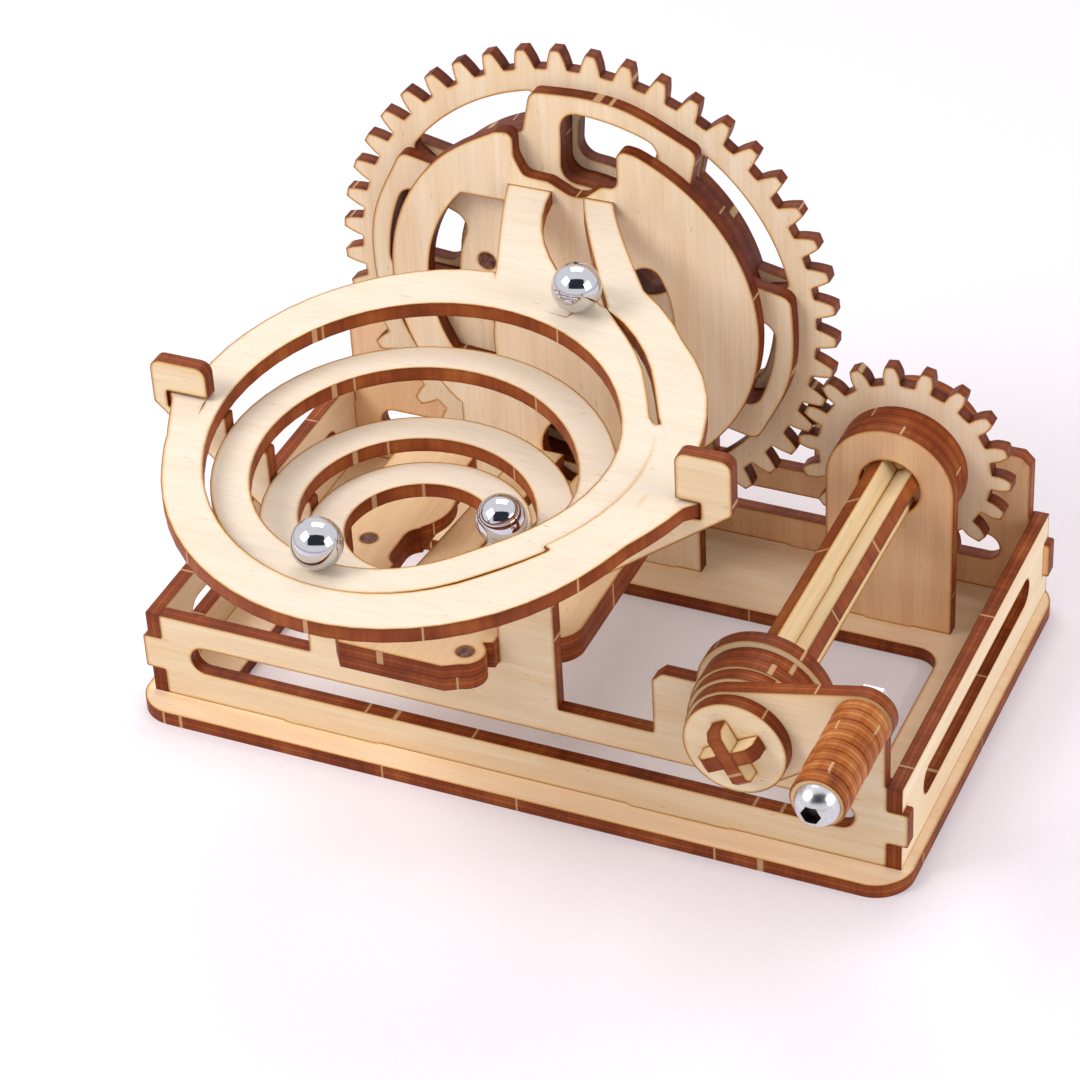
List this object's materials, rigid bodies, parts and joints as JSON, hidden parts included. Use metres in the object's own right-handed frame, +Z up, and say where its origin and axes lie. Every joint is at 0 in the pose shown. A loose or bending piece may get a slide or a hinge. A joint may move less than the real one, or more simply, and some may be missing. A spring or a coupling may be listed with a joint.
{
  "type": "hand-cranked marble run",
  "caption": "Plywood marble run kit: a hand crank turns a pinion and a big toothed wheel that lifts balls to rails and a spiral funnel.",
  "frame": {"origin": "middle of the whole toy in plan, from the funnel's front to the plate's back, on the plane of the base plate's underside", "axes": "+X to the right seen from the crank side, +Y to the back where the gears are, +Z up"},
  "size_m": [0.1664, 0.1444, 0.12],
  "materials": {
    "birch_ply": "laser-cut birch plywood with burnt edges",
    "birch_ply_warm": "laser-cut birch plywood, warmer sheet",
    "birch_dowel": "turned birch dowel with burnt ends",
    "plated_steel": "bright plated steel",
    "polished_steel": "polished steel ball"
  },
  "bodies": {
    "frame": {"base_plate": "birch_ply", "front_cradle": "birch_ply", "back_wall": "birch_ply_warm", "left_wall": "birch_ply", "right_wall": "birch_ply", "pinion_post": "birch_ply_warm", "wheel_guide": "birch_ply", "funnel_track": "birch_ply", "exit_deck_upper": "birch_ply_warm", "exit_deck_lower": "birch_ply_warm", "ramp_rail_left": "birch_ply", "ramp_rail_right": "birch_ply", "deck_pegs": "birch_dowel", "wheel_axle": "birch_dowel", "wheel_collar": "birch_dowel"},
    "wheel": {"lobe_plate_front": "birch_ply", "gear_ring": "birch_ply", "lobe_plate_back": "birch_ply", "wheel_pegs": "birch_dowel"},
    "crank": {"shaft_strip_a": "birch_ply", "shaft_strip_b": "birch_ply", "pinion": "birch_ply", "pinion_spacer_1": "birch_ply_warm", "pinion_spacer_2": "birch_ply_warm", "rear_spacer": "birch_ply_warm", "hub_disc_1": "birch_ply", "hub_disc_2": "birch_ply", "hub_disc_3": "birch_ply", "crank_arm": "birch_ply", "crank_cap": "birch_ply", "grip_bolt": "plated_steel", "grip_nut": "plated_steel"},
    "grip": {"grip_ring_1": "birch_ply", "grip_ring_2": "birch_ply_warm", "grip_ring_3": "birch_ply", "grip_ring_4": "birch_ply_warm", "grip_ring_5": "birch_ply", "grip_ring_6": "birch_ply_warm", "grip_ring_7": "birch_ply", "grip_ring_8": "birch_ply_warm"},
    "rail_ball": {"ball_on_rails": "polished_steel"},
    "turn_ball": {"ball_on_turn": "polished_steel"},
    "ring_ball": {"ball_on_inner_ring": "polished_steel"}
  },
  "joints": [
    {"name": "wheel_spin", "type": "hinge", "parent": "frame", "child": "wheel", "pos_m": [-0.0165, 0.0592, 0.06495], "axis": [0, 1, 0], "continuous": true},
    {"name": "crank_spin", "type": "hinge", "parent": "frame", "child": "crank", "pos_m": [0.0532, 0, 0.03734], "axis": [0, 1, 0], "continuous": true},
    {"name": "grip_spin", "type": "hinge", "parent": "crank", "child": "grip", "pos_m": [0.0772, -0.0488, 0.04833], "axis": [0, 1, 0], "continuous": true},
    {"name": "rail_ball_lift", "type": "slide", "parent": "frame", "child": "rail_ball", "axis": [0, 0, 1], "range_m": [0, 0.03]},
    {"name": "ring_ball_lift", "type": "slide", "parent": "frame", "child": "ring_ball", "axis": [0, 0, 1], "range_m": [0, 0.03]},
    {"name": "turn_ball_lift", "type": "slide", "parent": "frame", "child": "turn_ball", "axis": [0, 0, 1], "range_m": [0, 0.04]}
  ],
  "couplings": [
    {"joint": "crank_spin", "follows": "wheel_spin", "ratio": -2.5}
  ]
}
